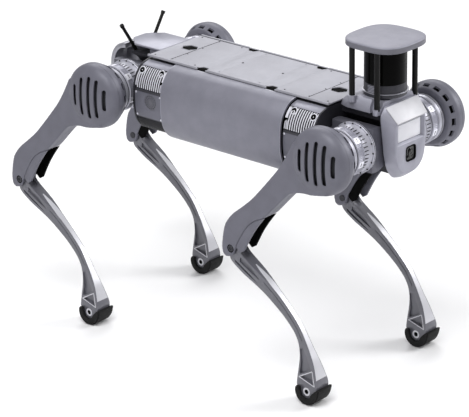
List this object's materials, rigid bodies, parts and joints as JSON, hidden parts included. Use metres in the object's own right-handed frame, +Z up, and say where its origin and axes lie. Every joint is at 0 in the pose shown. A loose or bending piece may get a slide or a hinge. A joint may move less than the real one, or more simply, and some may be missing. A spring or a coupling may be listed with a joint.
{
  "type": "quadruped robot",
  "caption": "Four-legged walking robot: barrel trunk with a flat payload deck, a lidar tower on the head, and legs that swing at the hip, thigh and knee.",
  "frame": {"origin": "centre of the bounding box's footprint, on the floor under the soles", "axes": "+X towards the head, +Y to the robot's left, +Z up"},
  "size_m": [1.0127, 0.45, 0.7942],
  "materials": {
    "dark_casting": "satin",
    "deck_paint": "satin",
    "black_plastic": "matte",
    "shell_paint": "satin",
    "battery_case": "matte",
    "circuit_board": "satin",
    "fin_metal": "satin",
    "dark_plastic": "matte",
    "hood_paint": "satin",
    "light_lens": "gloss",
    "camera_glass": "gloss",
    "sensor_grey": "satin",
    "lidar_black": "gloss",
    "black_post": "satin",
    "bare_metal": "satin",
    "antenna_rubber": "matte",
    "motor_metal": "brushed",
    "leg_paint": "satin",
    "rod_steel": "brushed",
    "sole_rubber": "matte"
  },
  "bodies": {
    "trunk": {"chassis": "dark_casting", "deck_plate": "deck_paint", "deck_end_covers": "deck_paint", "lashing_pockets": "black_plastic", "side_shell_right": "shell_paint", "side_shell_left": "shell_paint", "belly_cover": "shell_paint", "battery_pack": "battery_case", "control_board": "circuit_board", "hip_blocks": "fin_metal", "fan_guards": "dark_plastic", "head_hood": "hood_paint", "face_bezel": "hood_paint", "light_panel": "light_lens", "camera_window": "camera_glass", "lidar_base": "sensor_grey", "lidar_window": "lidar_black", "lidar_cap": "hood_paint", "lidar_posts": "black_post", "rear_hood": "hood_paint", "tail_shell": "bare_metal"},
    "lidar_spin": {"lidar_rotor": "dark_plastic"},
    "antenna_r": {"antenna_right": "antenna_rubber"},
    "antenna_l": {"antenna_left": "antenna_rubber"},
    "hip_fr": {"hip_link_fr": "dark_casting", "thigh_motor_fr": "motor_metal"},
    "thigh_fr": {"thigh_frame_fr": "leg_paint", "thigh_cover_fr": "leg_paint", "knee_guard_fr": "black_plastic"},
    "crank_fr": {"knee_crank_fr": "motor_metal"},
    "rod_fr": {"knee_rod_fr": "rod_steel"},
    "calf_fr": {"calf_fr": "bare_metal", "shoe_fr": "sole_rubber"},
    "hip_fl": {"hip_link_fl": "dark_casting", "thigh_motor_fl": "motor_metal"},
    "thigh_fl": {"thigh_frame_fl": "leg_paint", "thigh_cover_fl": "leg_paint", "knee_guard_fl": "black_plastic"},
    "crank_fl": {"knee_crank_fl": "motor_metal"},
    "rod_fl": {"knee_rod_fl": "rod_steel"},
    "calf_fl": {"calf_fl": "bare_metal", "shoe_fl": "sole_rubber"},
    "hip_rr": {"hip_link_rr": "dark_casting", "thigh_motor_rr": "motor_metal"},
    "thigh_rr": {"thigh_frame_rr": "leg_paint", "thigh_cover_rr": "leg_paint", "knee_guard_rr": "black_plastic"},
    "crank_rr": {"knee_crank_rr": "motor_metal"},
    "rod_rr": {"knee_rod_rr": "rod_steel"},
    "calf_rr": {"calf_rr": "bare_metal", "shoe_rr": "sole_rubber"},
    "hip_rl": {"hip_link_rl": "dark_casting", "thigh_motor_rl": "motor_metal"},
    "thigh_rl": {"thigh_frame_rl": "leg_paint", "thigh_cover_rl": "leg_paint", "knee_guard_rl": "black_plastic"},
    "crank_rl": {"knee_crank_rl": "motor_metal"},
    "rod_rl": {"knee_rod_rl": "rod_steel"},
    "calf_rl": {"calf_rl": "bare_metal", "shoe_rl": "sole_rubber"}
  },
  "joints": [
    {"name": "lidar_turn", "type": "hinge", "parent": "trunk", "child": "lidar_spin", "pos_m": [0.43212, 0, 0.71225], "axis": [0, 0, 1], "continuous": true},
    {"name": "antenna_right_tilt", "type": "hinge", "parent": "trunk", "child": "antenna_r", "pos_m": [-0.27188, -0.022, 0.61625], "axis": [1, 0, 0], "range_deg": [0, 40]},
    {"name": "antenna_left_tilt", "type": "hinge", "parent": "trunk", "child": "antenna_l", "pos_m": [-0.27188, 0.022, 0.61625], "axis": [-1, 0, 0], "range_deg": [0, 40]},
    {"name": "hip_swing_fr", "type": "hinge", "parent": "trunk", "child": "hip_fr", "pos_m": [0.41812, -0.072, 0.56225], "axis": [1, 0, 0], "range_deg": [-49.8, 30]},
    {"name": "thigh_swing_fr", "type": "hinge", "parent": "hip_fr", "child": "thigh_fr", "pos_m": [0.41812, -0.1917, 0.56225], "axis": [0, 1, 0], "range_deg": [-97.5, 225]},
    {"name": "knee_fr", "type": "hinge", "parent": "thigh_fr", "child": "calf_fr", "pos_m": [0.17676, -0.1917, 0.30878], "axis": [0, -1, 0], "range_deg": [-56, 75]},
    {"name": "crank_turn_fr", "type": "hinge", "parent": "thigh_fr", "child": "crank_fr", "pos_m": [0.41812, -0.1917, 0.56225], "axis": [0, -1, 0], "range_deg": [-56, 75]},
    {"name": "rod_turn_fr", "type": "hinge", "parent": "crank_fr", "child": "rod_fr", "pos_m": [0.40603, -0.1917, 0.57818], "axis": [0, -1, 0], "range_deg": [-75, 56]},
    {"name": "hip_swing_fl", "type": "hinge", "parent": "trunk", "child": "hip_fl", "pos_m": [0.41812, 0.072, 0.56225], "axis": [-1, 0, 0], "range_deg": [-49.8, 30]},
    {"name": "thigh_swing_fl", "type": "hinge", "parent": "hip_fl", "child": "thigh_fl", "pos_m": [0.41812, 0.1917, 0.56225], "axis": [0, 1, 0], "range_deg": [-97.5, 225]},
    {"name": "knee_fl", "type": "hinge", "parent": "thigh_fl", "child": "calf_fl", "pos_m": [0.17676, 0.1917, 0.30878], "axis": [0, -1, 0], "range_deg": [-56, 75]},
    {"name": "crank_turn_fl", "type": "hinge", "parent": "thigh_fl", "child": "crank_fl", "pos_m": [0.41812, 0.1917, 0.56225], "axis": [0, -1, 0], "range_deg": [-56, 75]},
    {"name": "rod_turn_fl", "type": "hinge", "parent": "crank_fl", "child": "rod_fl", "pos_m": [0.40603, 0.1917, 0.57818], "axis": [0, -1, 0], "range_deg": [-75, 56]},
    {"name": "hip_swing_rr", "type": "hinge", "parent": "trunk", "child": "hip_rr", "pos_m": [-0.23888, -0.072, 0.56225], "axis": [1, 0, 0], "range_deg": [-49.8, 30]},
    {"name": "thigh_swing_rr", "type": "hinge", "parent": "hip_rr", "child": "thigh_rr", "pos_m": [-0.23888, -0.1917, 0.56225], "axis": [0, 1, 0], "range_deg": [-45, 225]},
    {"name": "knee_rr", "type": "hinge", "parent": "thigh_rr", "child": "calf_rr", "pos_m": [-0.48024, -0.1917, 0.30878], "axis": [0, -1, 0], "range_deg": [-56, 75]},
    {"name": "crank_turn_rr", "type": "hinge", "parent": "thigh_rr", "child": "crank_rr", "pos_m": [-0.23888, -0.1917, 0.56225], "axis": [0, -1, 0], "range_deg": [-56, 75]},
    {"name": "rod_turn_rr", "type": "hinge", "parent": "crank_rr", "child": "rod_rr", "pos_m": [-0.25097, -0.1917, 0.57818], "axis": [0, -1, 0], "range_deg": [-75, 56]},
    {"name": "hip_swing_rl", "type": "hinge", "parent": "trunk", "child": "hip_rl", "pos_m": [-0.23888, 0.072, 0.56225], "axis": [-1, 0, 0], "range_deg": [-49.8, 30]},
    {"name": "thigh_swing_rl", "type": "hinge", "parent": "hip_rl", "child": "thigh_rl", "pos_m": [-0.23888, 0.1917, 0.56225], "axis": [0, 1, 0], "range_deg": [-45, 225]},
    {"name": "knee_rl", "type": "hinge", "parent": "thigh_rl", "child": "calf_rl", "pos_m": [-0.48024, 0.1917, 0.30878], "axis": [0, -1, 0], "range_deg": [-56, 75]},
    {"name": "crank_turn_rl", "type": "hinge", "parent": "thigh_rl", "child": "crank_rl", "pos_m": [-0.23888, 0.1917, 0.56225], "axis": [0, -1, 0], "range_deg": [-56, 75]},
    {"name": "rod_turn_rl", "type": "hinge", "parent": "crank_rl", "child": "rod_rl", "pos_m": [-0.25097, 0.1917, 0.57818], "axis": [0, -1, 0], "range_deg": [-75, 56]}
  ],
  "couplings": [
    {"joint": "crank_turn_fr", "follows": "knee_fr", "ratio": 1},
    {"joint": "rod_turn_fr", "follows": "knee_fr", "ratio": -1},
    {"joint": "crank_turn_fl", "follows": "knee_fl", "ratio": 1},
    {"joint": "rod_turn_fl", "follows": "knee_fl", "ratio": -1},
    {"joint": "crank_turn_rr", "follows": "knee_rr", "ratio": 1},
    {"joint": "rod_turn_rr", "follows": "knee_rr", "ratio": -1},
    {"joint": "crank_turn_rl", "follows": "knee_rl", "ratio": 1},
    {"joint": "rod_turn_rl", "follows": "knee_rl", "ratio": -1}
  ]
}
